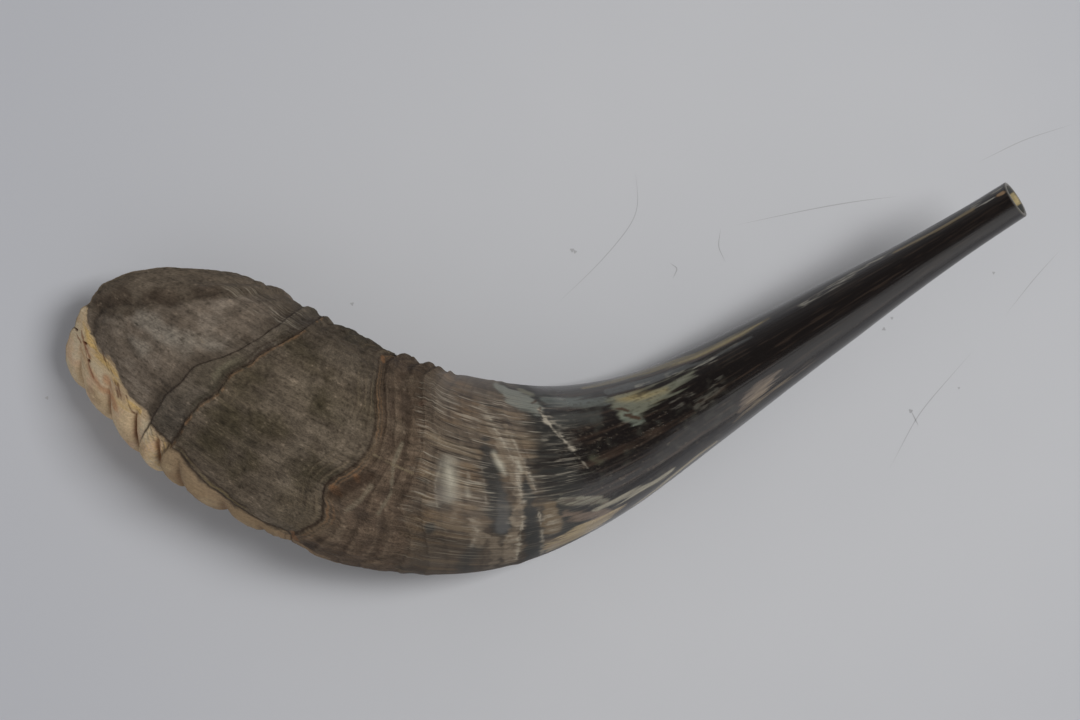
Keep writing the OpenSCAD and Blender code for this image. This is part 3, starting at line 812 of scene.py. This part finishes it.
def paint_stem():
    """The polished stem: near black, with teal, olive and pale green where older sheath shows."""
    zone = 1 - ramp(row_s + 6 * cloud2 + 5 * grain_long, 190, 202)
    tint(zone, BLACK)
    tint(zone * ramp(grain_long + 0.4 * cloud, 0.15, 0.9) * ramp(row_s, 60, 170) * 0.8, STEM_BROWN)
    tint(zone * ramp(grain_short + grain_long, 0.4, 1.1) * 0.35, (62, 50, 40))
    cloudy = ramp(row_s, 100, 150) * ramp(mottle + 0.6 * cloud2, 0.1, 0.9)
    tint(zone * cloudy * 0.3, (62, 62, 54))
    tint(zone * ramp(row_s, 100, 180) * ramp(speck + 0.5 * grain_short, 0.7, 1.2) * 0.4, (88, 80, 68))
    layers(1.0, [
        ([(218, 162), (213, 150), (208, 142), (204, 135)], (2.6, 4.8, 5.2, 2.6), 1.8, 1.8, TEAL, 0.82),
        ([(207, 158), (204, 152)], (1.4, 1.4), 2.0, 1.4, (122, 120, 102), 0.5),
        ([(197, 143), (185, 136), (174, 133)], (2.6, 2.4, 2.2), 2.4, 1.6, (86, 91, 86), 0.75),
        ([(201, 163), (186, 153), (171, 148)], (1.8, 2.0, 1.4), 1.4, 0.9, (38, 32, 28), 0.85),
        ([(192, 145), (191, 144)], 0.7, 1.6, 0.6, (104, 104, 98), 0.6),
        ([(203, 143), (205, 141)], 1.0, 0.9, 0.8, RUST_BROWN, 0.9),
        ([(203, 134), (202, 136)], 0.7, 0.9, 0.8, RUST_BROWN, 0.9),
        ([(196, 124), (188, 122), (180, 118)], (2.0, 2.6, 2.0), 3.0, 1.8, (66, 68, 64), 0.5),
        # the long olive band inside the concave edge, with a rusty line under it
        ([(178, 158), (158, 163), (147, 161), (138, 156), (129, 149), (119, 147), (110, 145), (98, 148)],
         (1.2, 2.3, 2.8, 2.5, 2.0, 1.6, 1.2, 0.5), 1.8, 0.8, (94, 84, 58), 0.85),
        ([(139, 153), (129, 146), (119, 145), (110, 145), (101, 147)], (0.4, 0.6, 0.6, 0.5, 0.2), 0.8, 0.3,
         (124, 111, 74), 0.6),
        ([(158, 151), (147, 149), (138, 146), (129, 140), (119, 140), (110, 140)], 0.35, 0.5, 0.3,
         RUST_BROWN, 0.8),
        ([(170, 143), (159, 143), (149, 140), (141, 138), (133, 135), (125, 131), (117, 132), (106, 131)],
         (1.4, 1.9, 1.8, 1.5, 1.2, 0.9, 0.6, 0.2), 0.9, 0.7, (68, 70, 69), 0.75),
        # the pale green window and its ragged lower edge
        ([(172, 128), (168, 124), (163, 116), (156, 115), (149, 118), (142, 120), (133, 125)],
         (1.4, 4.4, 4.8, 3.4, 2.4, 1.5, 0.4), 3.2, 2.8, (104, 105, 90), 0.82),
        ([(168, 131), (160, 125), (153, 121), (146, 120)], (0.8, 1.9, 1.7, 0.8), 3.4, 1.2,
         (142, 128, 88), 0.75),
        ([(168, 109), (164, 103)], 1.6, 2.0, 1.6, (104, 110, 98), 0.6),
        ([(171, 121), (168, 118), (166, 114)], (0.2, 0.6, 0.4), 0.6, 0.4, RUST_BROWN, 0.9),
        ([(168, 111), (166, 108), (163, 103)], (0.2, 0.7, 0.3), 0.8, 0.7, RUST_BROWN, 0.9),
        ([(188, 84), (185, 80)], 1.0, 2.6, 1.0, (80, 80, 64), 0.55),
        ([(46, 144), (30, 139), (14, 136)], (0.5, 0.7, 0.7), 0.9, 0.4, (98, 86, 62), 0.85),
        ([(3.8, 133), (1.8, 131)], (0.5, 0.8), 0.8, 0.4, (126, 102, 74), 0.85),
        ([(13, 135), (9, 133), (5.4, 132)], (0.1, 0.35, 0.2), 0.6, 0.3, (142, 140, 132), 0.8),
    ])
    tint(zone * ramp(row_s, 120, 150) * ramp(-speck - 0.8 * grain_short, 0.3, 1.2) * 0.45, (44, 38, 30))
    flecks = ramp(noise(threads, (4, 0.8), 129, 3), -0.1, 0.45)
    for points, half, strength in (
            ([(157, 139), (150, 137)], 1.0, 0.6), ([(143, 137), (136, 134)], 0.9, 0.7),
            ([(131, 129), (122, 128)], 0.7, 0.75), ([(119, 132), (112, 132)], 0.5, 0.7),
            ([(140, 124), (132, 119)], 0.5, 0.5), ([(64, 146), (74, 141), (84, 138)], 1.2, 0.8),
            ([(46, 149), (56, 151), (64, 152)], 0.8, 0.8), ([(2, 150), (16, 146)], 0.6, 0.9),
            ([(125, 95), (137, 84)], 2.4, 0.2), ([(146, 100), (138, 98)], 2.0, 0.25)):
        tint(flecks * streak(points, half, 1.4, 0.8, 121 + int(points[0][0])) * strength, (124, 121, 110))


def paint_belly_side_of_stem():
    """Cream and peach patches where the dark sheath is worn through on the outer curve."""
    strips = [([(205, 18), (197, 20), (188, 22), (180, 22)], (3.6, 5.0, 3.4, 1.0), 130, (150, 133, 102), 0.9),
              ([(201, 47), (194, 39), (186, 29)], (1.6, 2.4, 1.2), 131, PEACH, 0.85),
              ([(202, 62), (196, 56), (190, 48), (186, 42)], (0.8, 1.8, 1.6, 0.6), 141, (118, 114, 99), 0.85),
              ([(190, 38), (180, 37), (172, 33), (160, 29)], (0.6, 1.4, 1.5, 0.5), 132,
               (146, 140, 122), 0.85),
              ([(182, 8), (166, 14), (154, 17), (140, 20)], (0.8, 1.3, 1.2, 0.3), 133, (142, 132, 108), 0.85),
              ([(125, 48), (118, 55), (112, 60), (104, 64)], (0.8, 2.5, 2.2, 0.6), 134, (94, 83, 72), 0.9),
              ([(121, 50), (115, 53), (108, 58)], (0.6, 1.2, 0.5), 135, (122, 108, 90), 0.8),
              ([(130, 34), (118, 40), (104, 42), (90, 44)], (0.3, 0.9, 0.8, 0.2), 142, (110, 98, 80), 0.7),
              ([(196, -30), (180, -36), (160, -30)], 4.0, 137, PEACH, 0.7),
              ([(150, -60), (130, -66), (116, -58)], 2.6, 138, (104, 96, 78), 0.7),
              ([(186, -110), (168, -120), (150, -124)], 3.4, 139, YELLOW_GREEN, 0.6),
              ([(96, -90), (84, -96), (70, -92)], 1.8, 140, OLIVE, 0.6)]
    worn = np.zeros_like(row_s)
    for points, size, seed, colour, strength in strips:
        mask = streak(points, size, 1.4, 1.8, seed, (16, 1.4))
        tint(mask * strength * (0.72 + 0.28 * ramp(grain_long, -0.6, 0.5)), colour)
        worn = np.maximum(worn, mask)
    wash(worn, [
        (grain_short + 0.6 * grain_long, 0.45, 0.95, 0.75, (52, 42, 36)),
        (-grain_long, 0.5, 1.0, 0.5, (98, 74, 66))])


def paint_scratches():
    """Pale edges of the worn strips, fine cross marks beside them, and a long nick on the stem."""
    broken = ramp(noise(spot, (8, 4), 150, 3), -0.5, 0.4)
    flecks = ramp(noise(threads, (5, 0.75), 154, 3), -0.1, 0.5)
    lines = [([(227, 138), (224, 122), (219, 106), (216.6, 95), (216, 81), (215, 69), (215, 54), (216, 38),
               (216, 18)], 0.9, 0.75),
             ([(217, 114), (215, 103), (213, 93), (212, 86), (210.5, 75)], 0.7, 0.6),
             ([(226, 128), (220, 112), (217, 100)], 1.6, 0.4), ([(218, 52), (219, 36)], 2.2, 0.4),
             ([(234, 96), (233, 84), (233, 66), (229, 50), (230, 38)], 1.0, 0.4),
             ([(229, 96), (228, 84), (227, 70)], 0.7, 0.35),
             ([(210, 58), (209, 40), (208, 8)], 0.7, 0.6), ([(207, 50), (205, 40)], 2.4, 0.5),
             ([(203, 134), (202, 124), (199, 114), (196, 104), (194, 97)], 0.8, 1.0),
             ([(202.5, 130), (199, 114), (196.5, 106)], 1.1, 1.0),
             ([(200, 127), (198, 118)], 1.8, 0.5), ([(205, 112), (197, 104)], 2.6, 0.35),
             ([(194, 94), (192, 86), (190.5, 79)], 0.35, 0.6),
             ([(243, 98), (244, 84), (242, 68)], 0.6, 0.3)]
    worn = np.zeros_like(row_s)
    for k, (points, half, strength) in enumerate(lines):
        d, _ = near(points)
        d = d + 0.5 * half * noise(spot, (3, 1.6), 160 + k, 2)
        frayed = hump(d, half) * flecks
        core = hump(d, 0.35 * half) * broken if half < 1.2 else 0
        worn = np.maximum(worn, np.maximum(frayed, core) * strength)
    tint(worn * 0.85, PALE)
    return np.clip(worn, 0, 1)


paint_rough()
paint_inner_curve()
paint_keel()
paint_edges()
bend_zone = paint_bend()
paint_stem()
paint_belly_side_of_stem()
scratched = paint_scratches()

# Finish: roughness, how much fibre bump, how many pale scratches along the horn.
gloss = np.maximum(1 - bark, 0) * 0.45 + 0.55 * (1 - ramp(row_s + 8 * cloud2, 186, 206))
gloss = gloss * (1 - 0.6 * (1 - ramp(angle, 40, 66)) * ramp(row_s, 204, 214))
polished = np.clip(dabs([([(241, 96), (240, 76)], 3.6, 3.0, 1.0, 171),
                         ([(226, 104), (222, 86), (221, 50)], 2.6, 3.0, 1.0, 172)]), 0, 1)
gloss = np.maximum(gloss, 0.8 * polished * bend_zone)
roughness = 0.78 - 0.58 * np.clip(gloss, 0, 1) + 0.10 * scratched + 0.05 * cloud2 * bark
scratches = ramp(row_s + 5 * cloud2, 186, 200) * (1 - ramp(row_g + 3 * cloud2, 246, 252))
scratches = scratches * (0.35 + 0.65 * ramp(angle, 50, 84)) * (0.8 + 0.2 * ramp(row_s, 212, 222))
scratches = scratches * ramp(angle, 10, 30) * (1 - 0.5 * polished) * (1 - 0.9 * ramp(angle, 138, 158))
scratches = np.maximum(scratches, streak([(332, 150), (322, 146), (312, 150)], 6, 5, 1.0, 170) * 0.8)
on_bell = ramp(past["dark_edge"], -1, 3)
fibre_amount = 0.08 + 0.92 * bark * (1 - 0.55 * keel) * (1 - 0.25 * on_bell)
finish = np.stack([roughness, fibre_amount, scratches], -1)
paint = np.clip(paint, 0.002, 0.9)

hole_cloud = noise(hole_spot, (14, 8), 180, 3)
hole_paint = np.zeros(hole_s.shape + (3,))
hole_paint[:] = shown(*BONE)
for cloud_mask, strength, colour in ((ramp(hole_cloud, 0.1, 0.9), 0.5, (142, 126, 100)),
                                     (ramp(-hole_cloud, 0.1, 0.9), 0.6, (88, 72, 55))):
    hole_paint += cloud_mask[..., None] * strength * (shown(*colour) - hole_paint)
# painted shade: the hollow darker the deeper it runs in from the bell
hole_paint *= (0.45 + 0.55 * ramp(hole_s, 250, 340))[..., None]
hole_angle = np.repeat(degrees_round[None], len(hole_s), 0)
cup = 1 - ramp(hole_s, 14, 30)
cup_side = np.abs((hole_angle + 90 + 180) % 360 - 180) + 4 * noise(hole_spot, (3, 2), 181, 2)
cup_shade = (0.75 + 0.35 * ramp(noise(hole_spot, (4, 1.2), 182, 2), -0.3, 0.6))[..., None]
cup_cream = (1 - ramp(cup_side, 23, 29))[..., None]
cup_colour = (shown(172, 156, 116) * cup_cream + shown(66, 68, 68) * (1 - cup_cream)) * cup_shade
hole_paint += cup[..., None] * (cup_colour - hole_paint)
hole_finish = np.stack([0.7 - 0.35 * cup, 0.3 - 0.25 * cup, 0 * cup], -1)


# ---------------------------------------------------------------- pieces
def add_object(name, data):
    made = bpy.data.objects.new(name, data)
    bpy.context.scene.collection.objects.link(made)
    return made


SLOTS = {"mouth_tip": "horn_polished", "stem_sheath": "horn_polished",
         "upper_bend_sheath": "horn_half_polished", "lower_bend_sheath": "horn_half_polished",
         "belly_sheath": "horn_rough", "flank_sheath": "horn_rough",
         "knuckle_band": "horn_keel", "bell_sheath": "horn_rough"}


def loop_of(name):
    """Closed loop of rows: skin, far end, hollow, near end. Each row has every column."""
    a, b = span[name]
    c, d = hole_span[name]
    parts = [dict(p=skin_at[a:b + 1], n=skin_normal[a:b + 1], paint=paint[a:b + 1],
                  finish=finish[a:b + 1], straight=grown[a:b + 1], threads=threads[a:b + 1])]
    inside = slice(d, c - 1 if c else None, -1)
    hole = dict(p=hole_at[inside], n=hole_normal[inside], paint=hole_paint[inside],
                finish=hole_finish[inside], straight=hole_spot[inside],
                threads=threads_at(hole_s)[inside])
    if name == "bell_sheath":
        parts.append(rounded_end(b, d, RIM_DEPTH, 9, 1, 0.75))
    parts.append(hole)
    if name == "mouth_tip":
        parts.append(rounded_end(a, c, LIP_DEPTH, 8, -1, 0.6))
    return {k: np.concatenate([part[k] for part in parts]) for k in parts[0]}


def rounded_end(skin_row, hole_row, depth, steps, way, power):
    """Rows round the thickness of the wall, from the skin over the end to the hollow."""
    outside = skin_r[skin_row]
    inside = hole_r[hole_row]
    middle, half = (outside + inside) / 2, (outside - inside) / 2
    s, r, mix = [], [], []
    for i in range(1, steps):
        t = math.pi * i / steps
        s.append(row_s[skin_row] + way * depth * math.sin(t) ** power)
        r.append(middle + half * math.copysign(abs(math.cos(t)) ** power, math.cos(t)))
        mix.append(i / steps)
    s, r, mix = np.array(s), np.array(r), np.array(mix)[:, None, None]
    if way < 0:
        s, r = s[::-1], r[::-1]
        start_paint, end_paint = hole_paint[hole_row], paint[skin_row]
    else:
        start_paint, end_paint = paint[skin_row], hole_paint[hole_row]
    edge_colour, edge_finish = ((shown(118, 106, 88), [0.8, 0.5, 0.0]) if way > 0
                                else (shown(96, 92, 84), [0.4, 0.05, 0.0]))
    seam = np.minimum(1, 4 * np.minimum(mix, 1 - mix))
    mixed = start_paint * (1 - mix) + end_paint * mix
    p = place(s, r)
    straight = np.stack([s, r * np.cos(turn), r * np.sin(turn)], -1)
    colour = mixed + seam * 0.75 * (edge_colour - mixed)
    grainy = 1 + 0.18 * noise(straight, (1.2, 1.6), 190, 2)
    return dict(p=p, n=np.zeros_like(p), paint=colour * grainy[..., None],
                finish=np.broadcast_to(edge_finish, p.shape), straight=straight, threads=threads_at(s))


def close_normals(loop):
    """Normals for the rows that have none yet, from the closed loop itself."""
    p = loop["p"]
    along = np.roll(p, -1, 0) - np.roll(p, 1, 0)
    around = np.roll(p, -1, 1) - np.roll(p, 1, 1)
    n = unit(np.cross(around, along))
    missing = np.abs(loop["n"]).sum(-1) == 0
    loop["n"][missing] = n[missing]


def build(name, material):
    """One closed piece of horn for a CAD node, with its colours, finish and normals."""
    loop = loop_of(name)
    close_normals(loop)
    rows = len(loop["p"])
    co = loop["p"].reshape(-1, 3) / 1000
    i = np.arange(rows)[:, None]
    j = np.arange(COLUMNS)[None]
    nxt = (i + 1) % rows
    right = (j + 1) % COLUMNS
    quads = np.stack(np.broadcast_arrays(i * COLUMNS + j, i * COLUMNS + right,
                                         nxt * COLUMNS + right, nxt * COLUMNS + j), -1).reshape(-1)
    me = bpy.data.meshes.new(name + "_skin")
    me.vertices.add(len(co))
    me.vertices.foreach_set("co", co.astype(np.float32).ravel())
    me.loops.add(len(quads))
    me.loops.foreach_set("vertex_index", quads.astype(np.int32))
    me.polygons.add(len(quads) // 4)
    me.polygons.foreach_set("loop_start", np.arange(0, len(quads), 4, dtype=np.int32))
    me.update(calc_edges=True)
    me.validate()
    me.shade_smooth()
    for layer, kind in (("paint", "FLOAT_COLOR"), ("finish", "FLOAT_COLOR"),
                        ("straight", "FLOAT_VECTOR"), ("threads", "FLOAT_VECTOR")):
        add_attribute(me, layer, kind, loop[layer])
    me.normals_split_custom_set_from_vertices(loop["n"].reshape(-1, 3).tolist())
    me.materials.append(material)
    piece = add_object("horn_" + name, me)
    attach(piece, "root")
    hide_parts(name)


def add_attribute(me, name, kind, values):
    values = np.asarray(values, np.float32).reshape(-1, 3)
    attribute = me.attributes.new(name, kind, "POINT")
    if kind == "FLOAT_COLOR":
        values = np.hstack([values, np.ones((len(values), 1), np.float32)])
        attribute.data.foreach_set("color", values.ravel())
    else:
        attribute.data.foreach_set("vector", values.ravel())


# ---------------------------------------------------------------- materials
class Graph:
    """A few short cuts for wiring a material's nodes."""

    def __init__(self, name):
        self.material = bpy.data.materials.new(name)
        self.material.use_nodes = True
        self.tree = self.material.node_tree
        self.shader = self.tree.nodes["Principled BSDF"]

    def node(self, kind, inputs=(), **settings):
        n = self.tree.nodes.new(kind)
        for key, value in settings.items():
            setattr(n, key, value)
        for key, value in dict(inputs).items():
            self.put(n.inputs[key], value)
        return n

    def put(self, socket, value):
        if isinstance(value, bpy.types.NodeSocket):
            self.tree.links.new(value, socket)
        else:
            socket.default_value = value

    def surface(self, inputs):
        for name, value in inputs.items():
            self.put(self.shader.inputs[name], value)

    def attribute(self, name, output):
        return self.node("ShaderNodeAttribute", attribute_name=name).outputs[output]

    def math(self, kind, a, b, clamp=False):
        return self.node("ShaderNodeMath", {0: a, 1: b}, operation=kind, use_clamp=clamp).outputs[0]

    def times(self, a, b, clamp=False):
        return self.math("MULTIPLY", a, b, clamp)

    def plus(self, a, b, clamp=False):
        return self.math("ADD", a, b, clamp)

    def swing(self, value, amount):
        """A 0 to 1 value turned into one that swings either side of zero."""
        return self.times(self.math("SUBTRACT", value, 0.5), amount)

    def stretch(self, vector, scale):
        return self.node("ShaderNodeMapping", {"Vector": vector, "Scale": scale}).outputs[0]

    def noise(self, vector, scale, detail=2.0):
        n = self.node("ShaderNodeTexNoise", {"Vector": self.stretch(vector, scale), "Scale": 1.0,
                                             "Detail": detail, "Roughness": 0.6})
        return n.outputs["Fac"]

    def between(self, value, low, high):
        n = self.node("ShaderNodeMapRange", {"Value": value, "From Min": low, "From Max": high},
                      interpolation_type="SMOOTHSTEP")
        return n.outputs["Result"]

    def mix(self, amount, a, b, blend="MIX"):
        n = self.node("ShaderNodeMix", {0: amount, 6: a, 7: b}, data_type="RGBA", blend_type=blend)
        return n.outputs[2]


def horn_material(name):
    """Horn: painted growth colours, streaks along the fibres, pale scratches, pores and grit."""
    g = Graph(name)
    along = g.attribute("straight", "Vector")
    fibres = g.attribute("threads", "Vector")
    finish_parts = g.node("ShaderNodeSeparateColor", {0: g.attribute("finish", "Color")})
    rough_in, fibre_in, scratch_in = finish_parts.outputs[0:3]

    streaks = g.noise(fibres, (0.05, 1.6, 1.6), 3.0)
    grit = g.noise(along, (1.6, 1.6, 1.6), 3.0)
    tone = g.plus(g.swing(streaks, 0.6), g.swing(grit, 1.1))
    tone = g.plus(1.0, g.times(tone, g.plus(0.35, fibre_in)))
    toned = g.node("ShaderNodeVectorMath", {0: g.attribute("paint", "Color"), "Scale": tone},
                   operation="SCALE")

    thin = g.between(g.noise(fibres, (0.08, 2.4, 2.4), 1.5), 0.50, 0.66)
    broken = g.between(g.noise(fibres, (0.12, 0.5, 0.5), 2.0), 0.36, 0.62)
    scratch = g.times(g.times(thin, broken), scratch_in, clamp=True)
    furrow = g.between(g.noise(fibres, (0.07, 2.1, 2.1), 1.0), 0.48, 0.32)
    furrow = g.times(furrow, scratch_in, clamp=True)
    colour = g.mix(g.times(furrow, 0.58), toned.outputs[0], (*shown(*BLACK), 1.0))
    colour = g.mix(g.times(scratch, 0.52), colour, (*shown(*PALE), 1.0))

    roughness = g.plus(rough_in, g.times(scratch, 0.25))
    roughness = g.plus(roughness, g.swing(streaks, 0.12), clamp=True)
    height = g.plus(g.times(streaks, 0.6), g.times(g.times(grit, 0.8), fibre_in))
    height = g.math("SUBTRACT", height, g.times(scratch, 0.12))
    bump = g.node("ShaderNodeBump", {"Height": height, "Distance": 0.0006,
                                     "Strength": g.plus(0.05, g.times(fibre_in, 0.8), clamp=True)})
    g.surface({"Base Color": colour, "Roughness": roughness, "IOR": 1.5,
               "Specular IOR Level": g.between(rough_in, 0.95, 0.25), "Normal": bump.outputs[0]})
    return g.material


materials = {slot: horn_material(slot) for slot in sorted(set(SLOTS.values()))}
for piece_name in ORDER:
    build(piece_name, materials[SLOTS[piece_name]])


# ---------------------------------------------------------------- table, light and camera
TABLE_HALF = 3.0            # metres
MARK_HEIGHT = 0.00004       # metres above the table
MARK_STEPS = 40             # pieces in each scratch


def table():
    me = bpy.data.meshes.new("table_top")
    corners = [(-1, -1, 0), (1, -1, 0), (1, 1, 0), (-1, 1, 0)]
    me.from_pydata([(x * TABLE_HALF, y * TABLE_HALF, z) for x, y, z in corners], [], [(0, 1, 2, 3)])
    g = Graph("pale_table")
    where = g.node("ShaderNodeTexCoord").outputs["Object"]
    pale = g.mix(g.noise(where, (7, 7, 7), 3.0), (0.585, 0.595, 0.615, 1), (0.635, 0.64, 0.655, 1))
    # painted light falloff: the table darker and bluer away from a point near the middle
    apart = g.node("ShaderNodeVectorMath", {0: where, 1: (0.06, 0.0, 0.0)}, operation="DISTANCE")
    painted_falloff = g.between(apart.outputs["Value"], 0.08, 0.32)
    g.surface({"Base Color": g.mix(painted_falloff, pale, (0.53, 0.542, 0.575, 1)), "Roughness": 0.6,
               "Specular IOR Level": 0.2})
    me.materials.append(g.material)
    add_object("table_top", me)


# Old marks on the table, in mm: scratches as (points, half width), and specks as (x, y, radius).
SCRATCHES = [([(73, 58), (101, 64), (118, 67), (135, 69)], 0.16), ([(131, -33), (142, -12), (163, 12)], 0.12),
             ([(174, 24), (185, 38), (195, 49)], 0.10), ([(36, 79), (38, 62), (23, 44), (6, 28)], 0.12),
             ([(163, 81), (181, 90), (200, 96)], 0.12), ([(49, 44), (52, 42), (50, 38)], 0.2),
             ([(68, 57), (67, 50), (70, 44)], 0.14), ([(139, -11), (142, -17)], 0.2)]
SPECKS = [(12.5, 48.8, 0.7), (13.6, 48.2, 0.6), (-69.7, 28.7, 0.6), (-183.7, -6.4, 0.6), (132, 23.4, 0.5),
          (129, 19.3, 0.6), (139, -11.3, 0.7), (170, 40.3, 0.5), (157, -2.7, 0.4), (-71, 7.5, 0.3)]


def table_marks():
    points, faces = [], []

    def patch(outline):
        faces.append(tuple(range(len(points), len(points) + len(outline))))
        points.extend([(x / 1000, y / 1000, MARK_HEIGHT) for x, y in outline])

    for line, half in SCRATCHES:
        corners = np.array(line, float)
        t = np.linspace(0, len(line) - 1, MARK_STEPS + 1)
        path = np.stack([np.interp(t, range(len(line)), corners[:, k]) for k in (0, 1)], -1)
        path = soften(path, 4)
        way = unit(np.gradient(path, axis=0))
        taper = np.sin(np.pi * np.linspace(0, 1, MARK_STEPS + 1))[:, None]
        side = np.stack([-way[:, 1], way[:, 0]], -1) * half * taper
        left, right = path - side, path + side
        for k in range(MARK_STEPS):
            patch([left[k], left[k + 1], right[k + 1], right[k]])
    for x, y, radius in SPECKS:
        a = np.arange(12) * math.pi / 6
        r = radius * (1 + 0.3 * np.sin(3 * a + x))
        patch(np.stack([x + r * np.cos(a), y + r * np.sin(a)], -1))
    me = bpy.data.meshes.new("table_marks")
    me.from_pydata(points, [], faces)
    g = Graph("grey_marks")
    g.surface({"Base Color": (0.44, 0.44, 0.45, 1), "Roughness": 0.7, "Specular IOR Level": 0.2})
    me.materials.append(g.material)
    add_object("table_marks", me)


def soft_light(name, at, aim, width, height, glow, roll=0.0):
    """An area light whose surface glows with a given radiance."""
    light = bpy.data.lights.new(name, "AREA")
    light.shape = "RECTANGLE"
    light.size, light.size_y = width, height
    light.energy = glow * width * height * math.pi
    lamp = add_object(name, light)
    lamp.rotation_euler = (Vector(aim) - Vector(at)).to_track_quat("-Z", "Y").to_euler()
    lamp.rotation_euler.rotate_axis("Z", roll)
    lamp.location = at
    return lamp


def from_side(azimuth, height_angle, distance):
    a, e = math.radians(azimuth), math.radians(height_angle)
    flat = distance * math.cos(e)
    return flat * math.cos(a), flat * math.sin(a), distance * math.sin(e)


table()
table_marks()
key = soft_light("key", from_side(16, 60, 3.2), (0.04, 0.02, 0), 0.75, 1.5, 15.6)
key.visible_glossy = False
fill = soft_light("fill", from_side(-155, 42, 2.6), (0, 0, 0), 1.6, 1.6, 0.95)
fill.visible_glossy = False
fill.data.use_shadow = False            # pale walls, too wide to throw a shadow
panel = soft_light("side_panel", (0.15, -0.60, 0.42), (0.15, 0.0, 0.30), 1.5, 0.8, 0.49, math.radians(12))
panel.visible_diffuse = False

WALL_LIGHT = 0.16           # what matt surfaces get from the pale walls on top of the sky
world = bpy.data.worlds.new("dim_room")
world.use_nodes = True
sky = world.node_tree
background = sky.nodes["Background"]
background.inputs["Color"].default_value = (1.0, 0.98, 0.99, 1)
look, up, dark_ceiling, ray, walls = [sky.nodes.new("ShaderNode" + kind) for kind in (
    "TexCoord", "SeparateXYZ", "MapRange", "LightPath", "Math")]
for socket, value in (("From Min", 0.25), ("From Max", 0.75), ("To Min", 0.2), ("To Max", 0.07)):
    dark_ceiling.inputs[socket].default_value = value
walls.operation = "MULTIPLY_ADD"
walls.inputs[1].default_value = WALL_LIGHT
for start, end in ((look.outputs["Generated"], up.inputs[0]),
                   (up.outputs["Z"], dark_ceiling.inputs["Value"]),
                   (ray.outputs["Is Diffuse Ray"], walls.inputs[0]),
                   (dark_ceiling.outputs[0], walls.inputs[2]),
                   (walls.outputs[0], background.inputs["Strength"])):
    sky.links.new(start, end)
bpy.context.scene.world = world
bpy.context.scene.view_settings.view_transform = "Standard"

# The camera looks straight down from above the middle of the horn.
SENSOR = 36.0               # mm
EYE_HEIGHT = 1.3            # metres
SEEN_WIDTH = 0.3942         # metres across the picture, at MID_HEIGHT above the table
MID_HEIGHT = 0.03
camera = bpy.data.cameras.new("camera")
camera.sensor_width = SENSOR
camera.lens = SENSOR * (EYE_HEIGHT - MID_HEIGHT) / SEEN_WIDTH
camera.clip_start, camera.clip_end = 0.05, 20
eye = add_object("camera", camera)
eye.location = (0.0005, 0.00775, EYE_HEIGHT)
bpy.context.scene.camera = eye

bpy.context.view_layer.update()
